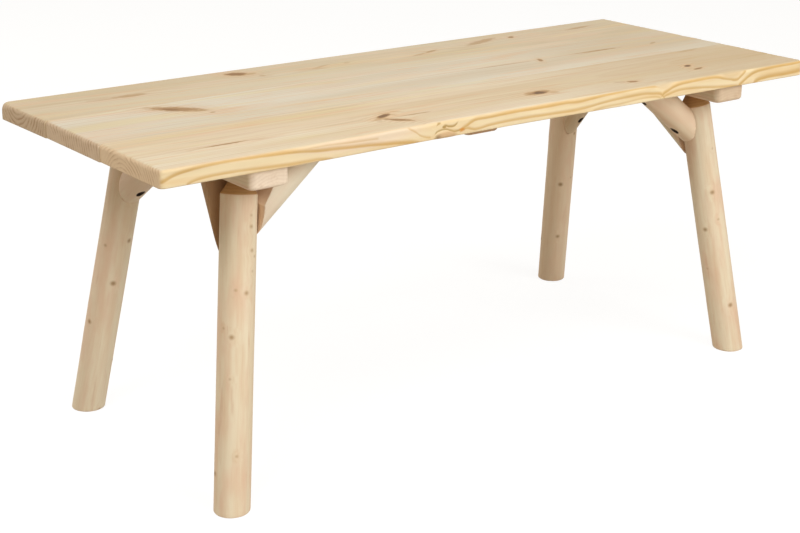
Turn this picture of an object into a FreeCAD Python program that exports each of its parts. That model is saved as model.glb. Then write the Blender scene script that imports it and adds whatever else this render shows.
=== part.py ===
import FreeCAD, Part
import os
import re
import Sketcher

# A rustic dining table. Three pine planks make the top, and the near plank keeps its natural edge.
# Under each end a flat cleat crosses the planks, and two splayed log legs are tenoned up into it.
# Two round log braces hold each leg: a long brace to the top and a cross brace to the cleat.
# X runs along the table, +Y to the far side and +Z up. The origin is on the floor, midway between
# the ends of the top and midway between the outermost feet.

SIZES = {
    # The plank top, with the width of the near plank given along its natural edge
    "top_length": 1848,
    "top_height": 760,
    "board_thickness": 38,
    "far_edge_place": 339.8,
    "far_board_width": 218,
    "far_board_proud": 8,
    "middle_board_width": 239,
    "near_width_left_end": 244,
    "near_width_left": 249,
    "near_width_left_middle": 245,
    "near_width_middle": 247,
    "near_width_right_middle": 254,
    "near_width_right": 259,
    "near_width_right_end": 265,
    "corner_round": 12,
    "arris_round": 8,
    "lower_arris_round": 2,
    "live_edge_round": 8,
    # The cleats across the planks and the shorter batten between them
    "left_cleat_length": 680,
    "right_cleat_length": 689,
    "cleat_width": 96,
    "cleat_thickness": 42,
    "cleat_setback": 11,
    "cleat_corner_round": 16,
    "cleat_arris_round": 9,
    "left_cleat_inset": 261,
    "right_cleat_inset": 240,
    "batten_length": 510,
    "batten_width": 98,
    "batten_thickness": 38,
    "batten_setback": 96,
    "batten_place": -36,
    # The log legs: each has its own place along its cleat, and its own lean to the end and to the
    # side of the table in degrees
    "leg_diameter": 78,
    "tenon_diameter": 38,
    "tenon_clearance": 0.3,
    "shoulder_length": 29,
    "shoulder_drop": 3,
    "foot_round": 3,
    "near_left_tenon_place": 242.2,
    "near_left_tenon_offset": 4.5,
    "near_left_end_angle": 8.48,
    "near_left_side_angle": 8.7,
    "far_left_tenon_place": 194.9,
    "far_left_tenon_offset": 8.5,
    "far_left_end_angle": 7.85,
    "far_left_side_angle": 9.4,
    "far_right_tenon_place": 225.9,
    "far_right_tenon_offset": 1.9,
    "far_right_end_angle": 6.84,
    "far_right_side_angle": 10.0,
    "near_right_tenon_place": 230.5,
    "near_right_tenon_offset": -1.4,
    "near_right_end_angle": 7.27,
    "near_right_side_angle": 8.9,
    # The log braces: how far under the top or the cleat each centre line passes the leg's, how far
    # it is shifted towards the table's middle, and its rise in degrees
    "brace_diameter": 72,
    "brace_seat_depth": 3,
    "cross_brace_shift": 4,
    "near_left_long_drop": 146,
    "near_left_long_shift": 0,
    "near_left_long_angle": 39.9,
    "near_left_cross_drop": 175.5,
    "near_left_cross_angle": 65.9,
    "far_left_long_drop": 147,
    "far_left_long_shift": 4,
    "far_left_long_angle": 38.5,
    "far_left_cross_drop": 137.4,
    "far_left_cross_angle": 34.9,
    "far_right_long_drop": 147,
    "far_right_long_shift": 4,
    "far_right_long_angle": 38.5,
    "far_right_cross_drop": 195.3,
    "far_right_cross_angle": 51.9,
    "near_right_long_drop": 149,
    "near_right_long_shift": 11.7,
    "near_right_long_angle": 37.0,
    "near_right_cross_drop": 146,
    "near_right_cross_angle": 34.3,
    # The screws, which are the same in diameter and differ in length
    "screw_diameter": 6,
    "screw_clearance": 0.3,
    "screw_tip_room": 3,
    "head_diameter": 12,
    "head_height": 4,
    "head_clearance": 2,
    "leg_screw_length": 60,
    "leg_screw_grip": 10,
    "leg_screw_run": 60,
    "leg_screw_side": 6,
    "upper_screw_length": 52,
    "upper_screw_grip": 30,
    "board_screw_length": 50,
    "board_screw_grip": 26,
    "board_screw_inset": 45,
    "cleat_screw_inset": 40,
}

# Heights and lines that several pieces share
UNDERSIDE = "(top_height - board_thickness)"
CLEAT_BOTTOM = "(top_height - board_thickness - cleat_thickness)"
TENON_HEIGHT = "(top_height - board_thickness - cleat_thickness / 2)"
SHOULDER_TOP = f"({CLEAT_BOTTOM} - shoulder_drop)"
SHOULDER_RIM = f"({SHOULDER_TOP} - shoulder_length)"
LEFT_END = "-top_length / 2"
INNER_LEFT_END = "(far_board_proud - top_length / 2)"
FAR_JOINT = "(far_edge_place - far_board_width)"
NEAR_JOINT = "(far_edge_place - far_board_width - middle_board_width)"
SEAT = "(leg_diameter / 2 - brace_seat_depth)"
CLEAT_PLACE = {
    "left": "(top_length / 2 - left_cleat_inset)",
    "right": "(top_length / 2 - right_cleat_inset)",
}

# The four corners: which side of the origin each leg stands on, in X and in Y
CORNERS = {
    "near_left": (-1, -1),
    "far_left": (-1, 1),
    "far_right": (1, 1),
    "near_right": (1, -1),
}

# The stations along the natural edge, evenly spaced from the left end to the right end
LIVE_EDGE = (
    "near_width_left_end",
    "near_width_left",
    "near_width_left_middle",
    "near_width_middle",
    "near_width_right_middle",
    "near_width_right",
    "near_width_right_end",
)

# Two points closer than this are the same point, in mm
SAME = 0.001

# Straight up, with no turn, and straight down
UPRIGHT = (("1", "0", "0"), "0")
DOWNWARD = (("1", "0", "0"), "180")

doc = FreeCAD.newDocument("log_leg_dining_table")
sheet = doc.addObject("Spreadsheet::Sheet", "Sizes")
for row, (alias, value) in enumerate(SIZES.items(), start=1):
    sheet.set(f"A{row}", alias)
    sheet.set(f"B{row}", str(value))
    sheet.setAlias(f"B{row}", alias)
doc.recompute()


def cell(word):
    """A word of an expression, as a cell of the sheet if it names a size."""
    return f"Sizes.{word}" if word in SIZES else word


def cells(expression):
    """Write each size named in an expression as a cell of the sheet."""
    return re.sub(r"[a-z_]+", lambda word: cell(word[0]), expression)


def size(name):
    """The value of one size, for the shapes that are drawn point by point."""
    return float(sheet.get(name))


def bind(piece, expressions):
    """Tie a piece's properties to the sheet."""
    for name, expression in expressions.items():
        piece.setExpression(name, cells(expression))


def place(piece, base, turn=UPRIGHT):
    """Tie a piece's place and turn to the sheet."""
    axis, angle = turn
    for letter, distance, share in zip("xyz", base, axis):
        piece.setExpression(f"Placement.Base.{letter}", cells(distance))
        piece.setExpression(f"Placement.Rotation.Axis.{letter}", cells(share))
    piece.setExpression("Placement.Rotation.Angle", cells(angle))


def make(kind, name, expressions, base, turn=UPRIGHT):
    """A primitive with its sizes, place and turn tied to the sheet."""
    piece = doc.addObject(kind, name)
    piece.Label = name
    bind(piece, expressions)
    place(piece, base, turn)
    return piece


def rod(name, diameter, length, base, turn=UPRIGHT):
    """A round bar that starts at base and runs along its turned Z."""
    return make("Part::Cylinder", name, {"Radius": f"({diameter}) / 2", "Height": length}, base, turn)


def cut(name, blank, *tools):
    """The blank less each tool in turn."""
    for number, tool in enumerate(tools, start=1):
        piece = doc.addObject("Part::Cut", f"{name}_cut_{number}")
        piece.Base = blank
        piece.Tool = tool
        blank = piece
    blank.Label = name
    return blank


def group(name, members):
    """Separate solids kept together."""
    piece = doc.addObject("Part::Compound", name)
    piece.Label = name
    piece.Links = members
    return piece


def joined(name, members):
    """Solids run together into one."""
    piece = doc.addObject("Part::MultiFuse", name)
    piece.Shapes = members
    return piece


def shared(name, first, second):
    """What two solids have in common."""
    piece = doc.addObject("Part::Common", name)
    piece.Base = first
    piece.Tool = second
    return piece


def upright_edge(edge):
    """True for an edge that runs straight up."""
    box = edge.BoundBox
    return box.XLength < SAME and box.YLength < SAME


def level_edge(edge, height):
    """True for an edge that lies at one height."""
    box = edge.BoundBox
    return abs(box.ZMin - height) < SAME and abs(box.ZMax - height) < SAME


def along_line(edge, y):
    """True for an edge that runs along the table at one Y."""
    box = edge.BoundBox
    return abs(box.YMin - y) < SAME and abs(box.YMax - y) < SAME


def plank(name, low, high, bottom, thickness):
    """A flat plank between two corners, given as (x, y), as a padded rectangle."""
    body = doc.addObject("PartDesign::Body", name)
    place(body, ("0", "0", bottom))
    sketch = body.newObject("Sketcher::SketchObject", f"{name}_outline")
    floor = [plane for plane in body.Origin.OriginFeatures if plane.Role == "XY_Plane"][0]
    sketch.AttachmentSupport = (floor, [""])
    sketch.MapMode = "FlatFace"
    points = [FreeCAD.Vector(0, 0), FreeCAD.Vector(1, 0), FreeCAD.Vector(1, 1), FreeCAD.Vector(0, 1)]
    for number, start in enumerate(points):
        sketch.addGeometry(Part.LineSegment(start, points[(number + 1) % 4]), False)
    for number in range(4):
        sketch.addConstraint(Sketcher.Constraint("Coincident", number, 2, (number + 1) % 4, 1))
    for number in (0, 2):
        sketch.addConstraint(Sketcher.Constraint("Horizontal", number))
    for number in (1, 3):
        sketch.addConstraint(Sketcher.Constraint("Vertical", number))
    for line, corner in ((0, low), (2, high)):
        for direction, distance in zip(("DistanceX", "DistanceY"), corner):
            number = sketch.addConstraint(Sketcher.Constraint(direction, -1, 1, line, 1, 1.0))
            sketch.setExpression(f"Constraints[{number}]", cells(distance))
    pad = body.newObject("PartDesign::Pad", f"{name}_pad")
    pad.Profile = sketch
    bind(pad, {"Length": thickness})
    doc.recompute()
    return body


def rounded(body, name, radius, chosen):
    """Round the chosen edges of a body's last feature."""
    base = body.Tip
    edges = [f"Edge{n}" for n, edge in enumerate(base.Shape.Edges, start=1) if chosen(edge)]
    fillet = body.newObject("PartDesign::Fillet", name)
    fillet.Base = (base, edges)
    bind(fillet, {"Radius": radius})
    doc.recompute()


def outer_arris(edge, height, joints):
    """True for an arris of a plank at a height, except along its glued joints."""
    return level_edge(edge, height) and not any(along_line(edge, joint) for joint in joints)


def top_plank(name, left_end, near_line, far_line, joints, outer_line=None):
    """One of the straight planks, with its ends and any outer edge rounded."""
    low = (left_end, near_line)
    high = ("top_length / 2", far_line)
    body = plank(name, low, high, UNDERSIDE, "board_thickness")
    thickness = size("board_thickness")
    if outer_line is not None:
        rounded(
            body, f"{name}_corners", "corner_round",
            lambda edge: upright_edge(edge) and along_line(edge, outer_line))
    rounded(body, f"{name}_upper", "arris_round", lambda edge: outer_arris(edge, thickness, joints))
    rounded(body, f"{name}_lower", "lower_arris_round", lambda edge: outer_arris(edge, 0, joints))
    return body


def live_edge_plank(name, joint):
    """The near plank, whose outer side follows the natural edge through its stations."""
    right_x = size("top_length") / 2
    left_x = size("far_board_proud") - right_x
    thickness = size("board_thickness")
    spacing = (right_x - left_x) / (len(LIVE_EDGE) - 1)
    stations = [
        FreeCAD.Vector(left_x + n * spacing, joint - size(width)) for n, width in enumerate(LIVE_EDGE)]
    natural = Part.BSplineCurve()
    natural.interpolate(stations)
    left = FreeCAD.Vector(left_x, joint)
    right = FreeCAD.Vector(right_x, joint)
    left_end = Part.LineSegment(left, stations[0])
    right_end = Part.LineSegment(stations[-1], right)
    glued = Part.LineSegment(right, left)
    outline = Part.Wire([side.toShape() for side in (left_end, natural, right_end, glued)])
    solid = Part.Face(outline).extrude(FreeCAD.Vector(0, 0, thickness))
    corners = [edge for edge in solid.Edges if upright_edge(edge) and not along_line(edge, joint)]
    solid = solid.makeFillet(size("corner_round"), corners)
    for height, radius in ((thickness, "live_edge_round"), (0, "lower_arris_round")):
        arrises = [edge for edge in solid.Edges if outer_arris(edge, height, (joint,))]
        solid = solid.makeFillet(size(radius), arrises)
    piece = doc.addObject("Part::Feature", name)
    piece.Shape = solid
    place(piece, ("0", "0", UNDERSIDE))
    return piece


def cleat_plank(name, middle, length, width, thickness, setback):
    """A flat batten across the planks with rounded corners and a rounded lower side."""
    low = (f"{middle} - {width} / 2", f"far_edge_place - {setback} - {length}")
    high = (f"{middle} + {width} / 2", f"far_edge_place - {setback}")
    body = plank(name, low, high, f"{UNDERSIDE} - {thickness}", thickness)
    rounded(body, f"{name}_corners", "cleat_corner_round", upright_edge)
    rounded(body, f"{name}_arrises", "cleat_arris_round", lambda edge: level_edge(edge, 0))
    return body


def along(way, rise="0"):
    """The turn that points a bar's Z along a level way, or above it by a rise in degrees."""
    return ((str(-way[1]), str(way[0]), "0"), f"90 - {rise}")


def on_axis(corner, height):
    """The point on a leg's centre line at a height."""
    side_x, side_y = CORNERS[corner]
    end = "left" if side_x < 0 else "right"
    fall = f"({TENON_HEIGHT} - ({height}))"
    return (
        f"{side_x} * ({CLEAT_PLACE[end]} + {corner}_tenon_offset + tan({corner}_end_angle) * {fall})",
        f"{side_y} * ({corner}_tenon_place + tan({corner}_side_angle) * {fall})",
        f"{height}",
    )


def tilt(corner):
    """How far a leg leans from upright."""
    return f"atan(sqrt(tan({corner}_end_angle)^2 + tan({corner}_side_angle)^2))"


def leg_turn(corner):
    """The turn that lays a bar's Z along a leg, from its foot up."""
    side_x, side_y = CORNERS[corner]
    axis = (f"{side_y} * tan({corner}_side_angle)", f"{-side_x} * tan({corner}_end_angle)", "0")
    return (axis, tilt(corner))


def moved(point, way, distance):
    """A point moved along a level way."""
    return (f"{point[0]} + {way[0]} * ({distance})", f"{point[1]} + {way[1]} * ({distance})", point[2])


def leg_blank(corner):
    """A log leg with its tapered shoulder and round tenon, cut level at both ends."""
    name = f"{corner}_leg"
    turn = leg_turn(corner)
    lean = f"cos({tilt(corner)})"
    sink = "leg_diameter / 2"
    log = rod(
        f"{name}_log", "leg_diameter", f"({SHOULDER_RIM} + {sink}) / {lean}",
        on_axis(corner, f"-{sink}"), turn)
    taper = {
        "Radius1": "leg_diameter / 2",
        "Radius2": "tenon_diameter / 2",
        "Height": f"shoulder_length / {lean}",
    }
    shoulder = make("Part::Cone", f"{name}_shoulder", taper, on_axis(corner, SHOULDER_RIM), turn)
    tenon = rod(
        f"{name}_tenon", "tenon_diameter", f"({UNDERSIDE} - {SHOULDER_TOP} + tenon_diameter) / {lean}",
        on_axis(corner, SHOULDER_TOP), turn)
    blank = shared(f"{name}_blank", joined(f"{name}_stick", [log, shoulder, tenon]), under_top)
    doc.recompute()
    rim = [n for n, edge in enumerate(blank.Shape.Edges, start=1) if level_edge(edge, 0)]
    eased = doc.addObject("Part::Fillet", f"{name}_eased")
    eased.Base = blank
    eased.Edges = [(n, size("foot_round"), size("foot_round")) for n in rim]
    return eased


def mortise(corner):
    """The hole through a cleat for a leg's tenon."""
    return rod(
        f"{corner}_mortise", "tenon_diameter + 2 * tenon_clearance",
        f"({UNDERSIDE} - {SHOULDER_TOP} + tenon_diameter) / cos({tilt(corner)})",
        on_axis(corner, SHOULDER_TOP), leg_turn(corner))


def log_side(name, corner, way):
    """The room on the leg's side of a brace's flat seat, square to the leg."""
    reach = {"x": "leg_diameter", "y": "leg_diameter"}
    low = {letter: f"-({distance})" for letter, distance in reach.items()}
    letter = "x" if way[0] else "y"
    if way[0] + way[1] > 0:
        reach[letter] = SEAT
    else:
        low[letter] = f"-{SEAT}"
    block = {
        "Xmin": low["x"], "X2min": low["x"], "Xmax": reach["x"], "X2max": reach["x"],
        "Ymin": low["y"], "Ymax": reach["y"],
        "Zmin": "0", "Z2min": "0", "Zmax": "top_height", "Z2max": "top_height",
    }
    return make("Part::Wedge", name, block, on_axis(corner, "0"), leg_turn(corner))


class Brace:
    """A round log brace from a leg up to a ceiling, with the spots of its two screws."""

    def __init__(self, corner, kind, way, shift, ceiling, room):
        name = f"{corner}_{kind}_brace"
        drop = f"{corner}_{kind}_drop"
        rise = f"{corner}_{kind}_angle"
        self.name = name
        self.way = way
        height = f"({ceiling} - {drop})"
        inward = [-side if step == 0 else 0 for side, step in zip(CORNERS[corner], way)]
        radius = "brace_diameter / 2"
        foot = moved(on_axis(corner, height), inward, shift)
        start = moved(foot, way, f"-{radius} * cos({rise})")
        start = (start[0], start[1], f"{height} - {radius} * sin({rise})")
        length = f"({drop} + brace_diameter) / sin({rise}) + brace_diameter"
        pole = rod(f"{name}_pole", "brace_diameter", length, start, along(way, rise))
        trimmed = shared(f"{name}_trimmed", pole, room)
        self.blank = cut(f"{name}_blank", trimmed, log_side(f"{name}_seat", corner, way))
        run = f"({SEAT} + leg_screw_run * cos({rise}))"
        lower = f"({height} + {run} * tan({rise}) - {radius} / cos({rise}))"
        beside = moved(on_axis(corner, lower), inward, f"{shift} - leg_screw_side")
        self.lower_spot = moved(beside, way, f"{SEAT} + leg_screw_grip")
        upper = moved(foot, way, f"{drop} / tan({rise})")
        self.upper_spot = (upper[0], upper[1], f"{ceiling} - upper_screw_grip")


class Screw:
    """A screw with its head at a spot, and the stepped bore that takes it."""

    def __init__(self, name, spot, drive, back, length, reach):
        shank = rod(f"{name}_shank", "screw_diameter", length, spot, drive)
        head = rod(f"{name}_head", "head_diameter", "head_height", spot, back)
        self.solid = joined(name, [shank, head])
        pilot_diameter = "screw_diameter + 2 * screw_clearance"
        recess_diameter = "head_diameter + 2 * head_clearance"
        pilot = rod(f"{name}_pilot", pilot_diameter, f"{length} + screw_tip_room", spot, drive)
        recess = rod(f"{name}_recess", recess_diameter, reach, spot, back)
        self.bore = joined(f"{name}_bore", [pilot, recess])


def room_below(name, ceiling):
    """The space from the floor up to a ceiling, over the whole table."""
    expressions = {"Length": "2 * top_length", "Width": "2 * top_length", "Height": ceiling}
    return make("Part::Box", name, expressions, ("-top_length", "-top_length", "0"))


under_top = room_below("under_top", UNDERSIDE)
under_cleats = room_below("under_cleats", CLEAT_BOTTOM)

# Braces and their screws
braces = {}
leg_screws = {}
upper_screws = {}
for corner, (side_x, side_y) in CORNERS.items():
    long_way = (-side_x, 0)
    cross_way = (0, -side_y)
    pair = (
        Brace(corner, "long", long_way, f"{corner}_long_shift", UNDERSIDE, under_top),
        Brace(corner, "cross", cross_way, "cross_brace_shift", CLEAT_BOTTOM, under_cleats),
    )
    for brace in pair:
        to_leg = (-brace.way[0], -brace.way[1])
        braces[brace.name] = brace
        leg_screws[brace.name] = Screw(
            f"{brace.name}_leg_screw", brace.lower_spot, along(to_leg), along(brace.way),
            "leg_screw_length", "2 * brace_diameter")
        upper_screws[brace.name] = Screw(
            f"{brace.name}_upper_screw", brace.upper_spot, UPRIGHT, DOWNWARD,
            "upper_screw_length", "2 * brace_diameter")

# Screws up through the cleats and the batten into the planks, two rows to a plank
inner_rows = (
    ("near_board", f"{NEAR_JOINT} - board_screw_inset"),
    ("middle_board", f"{NEAR_JOINT} + board_screw_inset"),
    ("middle_board", f"{FAR_JOINT} - board_screw_inset"),
    ("far_board", f"{FAR_JOINT} + board_screw_inset"),
)
far_row = ("far_board", "far_edge_place - cleat_setback - cleat_screw_inset")
near_rows = {
    end: ("near_board", f"far_edge_place - cleat_setback - {end}_cleat_length + cleat_screw_inset")
    for end in CLEAT_PLACE
}
crossings = {
    "left_cleat": (f"-{CLEAT_PLACE['left']}", (near_rows["left"], *inner_rows, far_row)),
    "right_cleat": (CLEAT_PLACE["right"], (near_rows["right"], *inner_rows, far_row)),
    "middle_batten": ("batten_place", inner_rows),
}
board_screws = []
bores = {name: [] for name in ("near_board", "middle_board", "far_board", *crossings)}
for cleat, (line, crossed) in crossings.items():
    for number, (board, row) in enumerate(crossed, start=1):
        spot = (line, row, f"{UNDERSIDE} - board_screw_grip")
        name = f"{cleat}_screw_{number}"
        screw = Screw(name, spot, UPRIGHT, DOWNWARD, "board_screw_length", "cleat_thickness")
        board_screws.append(screw)
        bores[cleat].append(screw.bore)
        bores[board].append(screw.bore)
for corner, (side_x, side_y) in CORNERS.items():
    bores["near_board" if side_y < 0 else "far_board"].append(upper_screws[f"{corner}_long_brace"].bore)
    bores["left_cleat" if side_x < 0 else "right_cleat"].append(upper_screws[f"{corner}_cross_brace"].bore)

# The pieces of the table
pieces = []
far_line = size("far_edge_place")
far_joint = far_line - size("far_board_width")
near_joint = far_joint - size("middle_board_width")
blanks = {
    "far_board": top_plank("far_plank", LEFT_END, FAR_JOINT, "far_edge_place", (far_joint,), far_line),
    "middle_board": top_plank(
        "middle_plank", INNER_LEFT_END, NEAR_JOINT, FAR_JOINT, (near_joint, far_joint)),
    "near_board": live_edge_plank("near_plank", near_joint),
    "left_cleat": cleat_plank(
        "left_cleat_blank", f"-{CLEAT_PLACE['left']}", "left_cleat_length", "cleat_width", "cleat_thickness",
        "cleat_setback"),
    "right_cleat": cleat_plank(
        "right_cleat_blank", CLEAT_PLACE["right"], "right_cleat_length", "cleat_width", "cleat_thickness",
        "cleat_setback"),
    "middle_batten": cleat_plank(
        "middle_batten_blank", "batten_place", "batten_length", "batten_width", "batten_thickness",
        "batten_setback"),
}
mortises = {name: [] for name in blanks}
for corner, (side_x, side_y) in CORNERS.items():
    mortises["left_cleat" if side_x < 0 else "right_cleat"].append(mortise(corner))
for name, blank in blanks.items():
    pieces.append(cut(name, blank, *mortises[name], group(f"{name}_bores", bores[name])))
for corner in CORNERS:
    pair = [braces[f"{corner}_long_brace"], braces[f"{corner}_cross_brace"]]
    leg_bores = [leg_screws[brace.name].bore for brace in pair]
    pieces.append(cut(f"{corner}_leg", leg_blank(corner), *[brace.blank for brace in pair], *leg_bores))
for name, brace in braces.items():
    pieces.append(cut(name, brace.blank, leg_screws[name].bore, upper_screws[name].bore))
pieces.append(group("brace_leg_screws", [screw.solid for screw in leg_screws.values()]))
pieces.append(group("brace_upper_screws", [screw.solid for screw in upper_screws.values()]))
pieces.append(group("board_screws", [screw.solid for screw in board_screws]))
doc.recompute()

for item in doc.Objects:
    if "Invalid" in item.State or "Error" in item.State:
        raise RuntimeError(f"{item.Label} did not build: {item.State}")
for piece in pieces:
    if piece.Shape.isNull() or not piece.Shape.isValid():
        raise RuntimeError(f"{piece.Label} has no sound solid")

os.makedirs("parts", exist_ok=True)
for piece in pieces:
    piece.Shape.exportStep(os.path.join("parts", f"{piece.Label}.step"))
    print(piece.Label, len(piece.Shape.Solids), round(piece.Shape.Volume / 1000), "cm3")
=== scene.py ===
import bmesh
import bpy
import math
import random
from functools import reduce
from mathutils import Matrix, Vector, noise


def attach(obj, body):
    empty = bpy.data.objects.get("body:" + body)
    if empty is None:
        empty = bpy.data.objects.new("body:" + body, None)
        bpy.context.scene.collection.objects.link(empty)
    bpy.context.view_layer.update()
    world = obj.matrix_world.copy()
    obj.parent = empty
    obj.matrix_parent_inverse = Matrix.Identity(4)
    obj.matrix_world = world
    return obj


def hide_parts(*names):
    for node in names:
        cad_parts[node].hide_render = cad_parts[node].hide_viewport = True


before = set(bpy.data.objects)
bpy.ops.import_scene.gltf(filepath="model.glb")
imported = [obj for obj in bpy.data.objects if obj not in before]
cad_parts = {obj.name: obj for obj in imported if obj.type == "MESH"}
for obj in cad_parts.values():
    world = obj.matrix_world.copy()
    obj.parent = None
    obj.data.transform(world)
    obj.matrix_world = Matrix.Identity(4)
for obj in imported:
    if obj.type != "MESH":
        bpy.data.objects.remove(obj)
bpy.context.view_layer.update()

# The photographer's place, in metres and degrees, and the lens for a frame 800 wide
CAMERA_PLACE = Vector((-2.30442, -2.91298, 1.56132))
CAMERA_TURN = 37.7236
CAMERA_TIP = 19.0107
CAMERA_ROLL = 0.6188
FOCAL_PIXELS = 1584.56
FRAME_WIDTH = 800
FRAME_HEIGHT = 533
FRAME_CENTRE = (405.11, 267.73)

# The top, in metres
TOP_HEIGHT = 0.760
BOARD_THICKNESS = 0.038
UNDERSIDE = TOP_HEIGHT - BOARD_THICKNESS
HALF_LENGTH = 0.924
LEFT_ENDS = {"far": -HALF_LENGTH, "middle": -0.918, "near": -0.9155}
FAR_EDGE = 0.3398
FAR_WIDTH = 0.218
MIDDLE_WIDTH = 0.239
FAR_JOINT = FAR_EDGE - FAR_WIDTH
NEAR_JOINT = FAR_JOINT - MIDDLE_WIDTH
GLUE_LINE = 0.0001

# Roundings of a plank's corners, its ends, and its long edges above, below and in plan at the ends
CORNER_ROUND = 0.014
END_ROUND = 0.009
LOWER_ROUND = 0.0025
OUTER_EDGE = (0.008, 0.002, CORNER_ROUND)
JOINT_EDGE = (0.0006, 0.0006, 0.0012)

# The far plank's slanting left end and worn corner, and the seeds of the planks' wear
FAR_END_SLANT = 0.0035
SLANT_REACH = 0.05
FAR_CORNER_WEAR = 0.010
WEAR_REACH = 0.045
WEAR_SEEDS = {"far": 1.0, "middle": 5.0, "near": 9.0}

# The natural edge: the near plank's width at even stations, then the edge's roundings and swells
NATURAL_EDGE_START = -0.916
NEAR_WIDTHS = (0.244, 0.249, 0.245, 0.247, 0.254, 0.259, 0.265)
NATURAL_ROUND = 0.0085
NATURAL_ROUND_WAVE = 0.0025
NATURAL_LOWER_ROUND = 0.003
SWELL_HEIGHT = 0.0011
SWELL_SINK = 0.0005
SWELL_REACH = 0.010
SCAR_PLACE = (-0.225, 0.728)
SCAR_SIZE = (0.034, 0.010)
SCAR_PROUD = 0.0035

# How finely a plank is meshed: places from its ends, steps, and points round its edges
END_STEPS = (0.0, 0.0002, 0.0007, 0.0015, 0.0025, 0.0037, 0.005, 0.0065, 0.008, 0.010, 0.014, 0.019)
STRAIGHT_STEP = 0.02
NATURAL_STEP = 0.004
FACE_STEP = 0.004
UPPER_POINTS = 8
LOWER_POINTS = 6
JOINT_POINTS = 3
NATURAL_POINTS = 12
WALL_STEPS = 14

# The logs, in metres
CLEAT_THICKNESS = 0.042
CLEAT_BOTTOM = UNDERSIDE - CLEAT_THICKNESS
CLEAT_MIDDLE = UNDERSIDE - CLEAT_THICKNESS / 2
SHOULDER_DROP = 0.003
SHOULDER_LENGTH = 0.029
SHOULDER_RIM = CLEAT_BOTTOM - SHOULDER_DROP - SHOULDER_LENGTH
LEG_RADIUS = 0.039
TENON_RADIUS = 0.019
FOOT_ROUND = 0.003
BRACE_RADIUS = 0.036
SEAT_DEPTH = 0.003
SEAT = LEG_RADIUS - SEAT_DEPTH
RECESS_RADIUS = 0.008
LEG_SCREW_GRIP = 0.010
LEG_SCREW_RUN = 0.060
LEG_SCREW_SIDE = 0.006
UPPER_SCREW_GRIP = 0.030
DRILL_LENGTH = 0.20

# How finely a log is meshed, and the steps of its foot's rim and its shoulder
LOG_SIDES = 72
LEG_ROWS = 110
BRACE_ROWS = 56
DRILL_SIDES = 32
FOOT_BENDS = (0, 20, 45, 70, 90)
RIM_EASE = (0.0006, 0.0010)
TAPER_SHARES = (0.12, 0.3, 0.5, 0.7, 0.88, 1.0)
# Depth of a peeled log's dips, and the shape of the humps at its knots
LOG_DIP = 0.0009
HUMP_TALLNESS = 0.7
HUMP_SPREAD = 2.2

UP = Vector((0, 0, 1))

# Each leg: its side along and across the table, its tenon's place, and its leans in degrees
LEGS = {
    "near_left": (-1, -1, 0.6675, 0.2422, 8.48, 8.7),
    "far_left": (-1, 1, 0.6715, 0.1949, 7.85, 9.4),
    "far_right": (1, 1, 0.6859, 0.2259, 6.84, 10.0),
    "near_right": (1, -1, 0.6826, 0.2305, 7.27, 8.9),
}
# What braces along and across the table run up to, then each brace's drop from there to the leg's
# centre line, shift inwards, and rise in degrees
CEILINGS = {"long": UNDERSIDE, "cross": CLEAT_BOTTOM}
BRACES = {
    "near_left": {"long": (0.146, 0.0, 39.9), "cross": (0.1755, 0.004, 65.9)},
    "far_left": {"long": (0.147, 0.004, 38.5), "cross": (0.1374, 0.004, 34.9)},
    "far_right": {"long": (0.147, 0.004, 38.5), "cross": (0.1953, 0.004, 51.9)},
    "near_right": {"long": (0.149, 0.0117, 37.0), "cross": (0.146, 0.004, 34.3)},
}
# A corner sawn off a brace beside its leg: a point on the flat, and the flat's slope in degrees
SAWN_CORNERS = {"near_left_long_brace": (Vector((-0.6337, 0.0, 0.6394)), 53.5)}


def paint(red, green, blue):
    """A colour given as it looks on a screen, 0 to 255, in the light values that nodes use."""
    def light(value):
        value /= 255
        return value / 12.92 if value <= 0.04045 else ((value + 0.055) / 1.055) ** 2.4
    return (light(red), light(green), light(blue), 1.0)


# Each plank's pale and deep wood, and its end grain's early and late wood
PLANK_TONES = {
    "far": (paint(220, 207, 183), paint(208, 189, 157), paint(204, 179, 150), paint(162, 127, 96)),
    "middle": (paint(226, 218, 202), paint(215, 201, 178), paint(215, 190, 162), paint(178, 142, 112)),
    "near": (paint(235, 222, 200), paint(222, 201, 168), paint(229, 202, 169), paint(199, 163, 128)),
}
STRAW = paint(227, 208, 156)
APRICOT = paint(226, 190, 152)
ROSE = paint(227, 204, 180)
HEART = paint(192, 154, 106)
RIPE_TAN = paint(194, 167, 124)
SAPWOOD = paint(239, 217, 179)
SAP_BLUSH = paint(238, 214, 198)
RESIN = paint(231, 195, 142)
GOLD = paint(204, 158, 86)
OLIVE = paint(168, 128, 58)
AMBER = paint(214, 142, 62)
SCAR_TAN = paint(204, 166, 126)
KNOT_TAN = paint(181, 143, 97)
KNOT_BROWN = paint(144, 103, 54)
KNOT_DARK = paint(94, 62, 25)
# Near-black brown painted in and round the screw recesses as painted shade
PAINTED_RECESS_SHADE = paint(44, 28, 16)
PEELED_WHITE = paint(244, 232, 214)
LOG_CREAM = paint(234, 217, 190)
LOG_HONEY = paint(219, 185, 148)
LOG_ROSE = paint(226, 186, 158)
INNER_BARK = paint(192, 132, 90)
# Brown of the sawn shoulders, partly their cut wood and partly painted shade; also a painted-shade tint on a
# cross brace
SHOULDER_AND_SHADE_BROWN = paint(194, 152, 104)
# A deeper brown painted on a brace as painted shade
PAINTED_SHADE_BROWN = paint(174, 134, 94)
SAWN_CREAM = paint(246, 218, 192)
SAWN_TAN = paint(196, 154, 116)
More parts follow.
